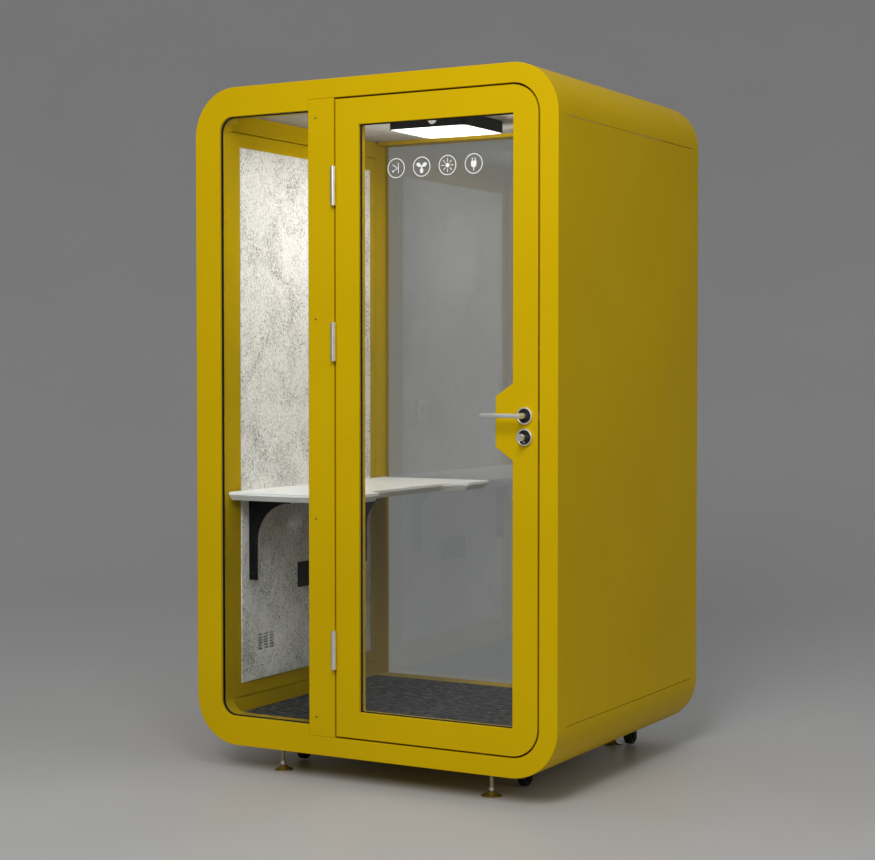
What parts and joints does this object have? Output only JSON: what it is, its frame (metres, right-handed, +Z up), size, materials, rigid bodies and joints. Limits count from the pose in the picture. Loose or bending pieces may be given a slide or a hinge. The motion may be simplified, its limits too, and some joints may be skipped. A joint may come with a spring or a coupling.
{
  "type": "telephone booth",
  "caption": "Free-standing acoustic telephone booth: rounded steel body, fixed window, glazed hinged door, wall desk, lamp, fan and levelling feet.",
  "frame": {"origin": "on the floor, under the middle of the booth's overall box, lever and power inlet included", "axes": "+X to the right seen from the front, +Y from the front to the back, +Z up"},
  "size_m": [1.36, 1.2056, 2.3],
  "materials": {
    "yellow_paint": "satin powder coat",
    "clear_glass": "clear polished float glass",
    "black_rubber": "matt",
    "grey_felt": "pressed wool-look felt",
    "ceiling_felt": "pressed felt",
    "carpet": "ribbed needle-felt carpet",
    "white_laminate": "satin laminate",
    "plywood": "raw",
    "black_metal": "fine-textured powder coat",
    "satin_steel": "satin",
    "chassis_zinc": "zinc plated",
    "foot_chrome": "polished",
    "lamp_opal": "opal",
    "white_plastic": "gloss",
    "black_plastic": "matt",
    "mineral_wool": "pressed wool"
  },
  "bodies": {
    "root": {"front_frame": "yellow_paint", "strike_plate": "satin_steel", "rear_frame": "yellow_paint", "mullion_post": "yellow_paint", "window_glass": "clear_glass", "rear_glass": "clear_glass", "glazing_gaskets": "black_rubber", "roof_shell": "yellow_paint", "base_shell": "yellow_paint", "left_outer_panel": "yellow_paint", "right_outer_panel": "yellow_paint", "left_inner_panel": "yellow_paint", "right_inner_panel": "yellow_paint", "left_felt": "grey_felt", "right_felt": "grey_felt", "intake_grille": "black_plastic", "sound_insulation": "mineral_wool", "ceiling_tray": "yellow_paint", "ceiling_panel": "ceiling_felt", "floor_tray": "yellow_paint", "floor_board": "plywood", "carpet": "carpet", "chassis_rails": "chassis_zinc", "foot_pads": "foot_chrome", "rear_caster_forks": "black_metal", "door_seal": "black_rubber", "hinge_frame_leaves": "satin_steel", "desk_top": "white_laminate", "desk_brackets": "black_metal", "lamp_housing": "black_metal", "lamp_diffuser": "lamp_opal", "motion_sensor": "white_plastic", "fan_housing": "black_plastic", "socket_panel": "black_plastic", "switch_plate": "white_plastic", "power_inlet": "black_plastic", "frame_screws": "satin_steel"},
    "door": {"door_leaf": "yellow_paint", "door_glass": "clear_glass", "door_gasket": "black_rubber", "hinge_door_leaves": "satin_steel", "rose_plates": "satin_steel", "lock_case": "satin_steel"},
    "lever": {"outer_lever": "satin_steel", "inner_lever": "satin_steel"},
    "latch": {"latch_bolt": "satin_steel"},
    "thumb_turn": {"turn_knobs": "satin_steel"},
    "deadbolt": {"deadbolt": "satin_steel"},
    "fan_rotor": {"fan_impeller": "black_plastic"},
    "dimmer": {"dimmer_knob": "white_plastic"},
    "foot_fl": {"foot_stem_fl": "satin_steel"},
    "foot_fr": {"foot_stem_fr": "satin_steel"},
    "foot_rl": {"foot_stem_rl": "satin_steel"},
    "foot_rr": {"foot_stem_rr": "satin_steel"},
    "caster_fl": {"caster_fork_fl": "black_metal"},
    "caster_fr": {"caster_fork_fr": "black_metal"},
    "wheel_fl": {"caster_wheel_fl": "black_plastic"},
    "wheel_fr": {"caster_wheel_fr": "black_plastic"},
    "wheel_rl": {"caster_wheel_rl": "black_plastic"},
    "wheel_rr": {"caster_wheel_rr": "black_plastic"}
  },
  "joints": [
    {"name": "door_swing", "type": "hinge", "parent": "root", "child": "door", "pos_m": [-0.1235, -0.55625, 1.195], "axis": [0, 0, -1], "range_deg": [0, 120]},
    {"name": "lever_turn", "type": "hinge", "parent": "door", "child": "lever", "pos_m": [0.5682, -0.52525, 1.216], "axis": [0, -1, 0], "range_deg": [0, 40], "stiffness_Nm_per_rad": 2},
    {"name": "latch_slide", "type": "slide", "parent": "door", "child": "latch", "axis": [-1, 0, 0], "range_m": [0, 0.012]},
    {"name": "lock_turn", "type": "hinge", "parent": "door", "child": "thumb_turn", "pos_m": [0.5682, -0.52525, 1.15], "axis": [0, -1, 0], "range_deg": [0, 90]},
    {"name": "deadbolt_slide", "type": "slide", "parent": "door", "child": "deadbolt", "axis": [1, 0, 0], "range_m": [0, 0.0206]},
    {"name": "fan_spin", "type": "hinge", "parent": "root", "child": "fan_rotor", "pos_m": [0.33, 0.02625, 2.255], "axis": [0, 0, 1], "continuous": true},
    {"name": "dimmer_turn", "type": "hinge", "parent": "root", "child": "dimmer", "pos_m": [-0.574, 0.28425, 1.196], "axis": [1, 0, 0], "range_deg": [0, 270]},
    {"name": "foot_turn_fl", "type": "hinge", "parent": "root", "child": "foot_fl", "pos_m": [-0.4, -0.44375, 0.07], "axis": [0, 0, 1], "continuous": true},
    {"name": "foot_turn_fr", "type": "hinge", "parent": "root", "child": "foot_fr", "pos_m": [0.4, -0.44375, 0.07], "axis": [0, 0, 1], "continuous": true},
    {"name": "foot_turn_rl", "type": "hinge", "parent": "root", "child": "foot_rl", "pos_m": [-0.4, 0.49625, 0.07], "axis": [0, 0, 1], "continuous": true},
    {"name": "foot_turn_rr", "type": "hinge", "parent": "root", "child": "foot_rr", "pos_m": [0.4, 0.49625, 0.07], "axis": [0, 0, 1], "continuous": true},
    {"name": "caster_swivel_fl", "type": "hinge", "parent": "root", "child": "caster_fl", "pos_m": [-0.43, -0.28225, 0.09], "axis": [0, 0, 1], "continuous": true},
    {"name": "wheel_spin_fl", "type": "hinge", "parent": "caster_fl", "child": "wheel_fl", "pos_m": [-0.43, -0.26825, 0.028], "axis": [1, 0, 0], "continuous": true},
    {"name": "caster_swivel_fr", "type": "hinge", "parent": "root", "child": "caster_fr", "pos_m": [0.43, -0.28225, 0.09], "axis": [0, 0, 1], "continuous": true},
    {"name": "wheel_spin_fr", "type": "hinge", "parent": "caster_fr", "child": "wheel_fr", "pos_m": [0.43, -0.26825, 0.028], "axis": [1, 0, 0], "continuous": true},
    {"name": "wheel_spin_rl", "type": "hinge", "parent": "root", "child": "wheel_rl", "pos_m": [-0.457, 0.52275, 0.028], "axis": [1, 0, 0], "continuous": true},
    {"name": "wheel_spin_rr", "type": "hinge", "parent": "root", "child": "wheel_rr", "pos_m": [0.457, 0.52275, 0.028], "axis": [1, 0, 0], "continuous": true}
  ],
  "couplings": [
    {"joint": "latch_slide", "follows": "lever_turn", "m_per_rad": 0.01718},
    {"joint": "deadbolt_slide", "follows": "lock_turn", "m_per_rad": 0.013}
  ]
}
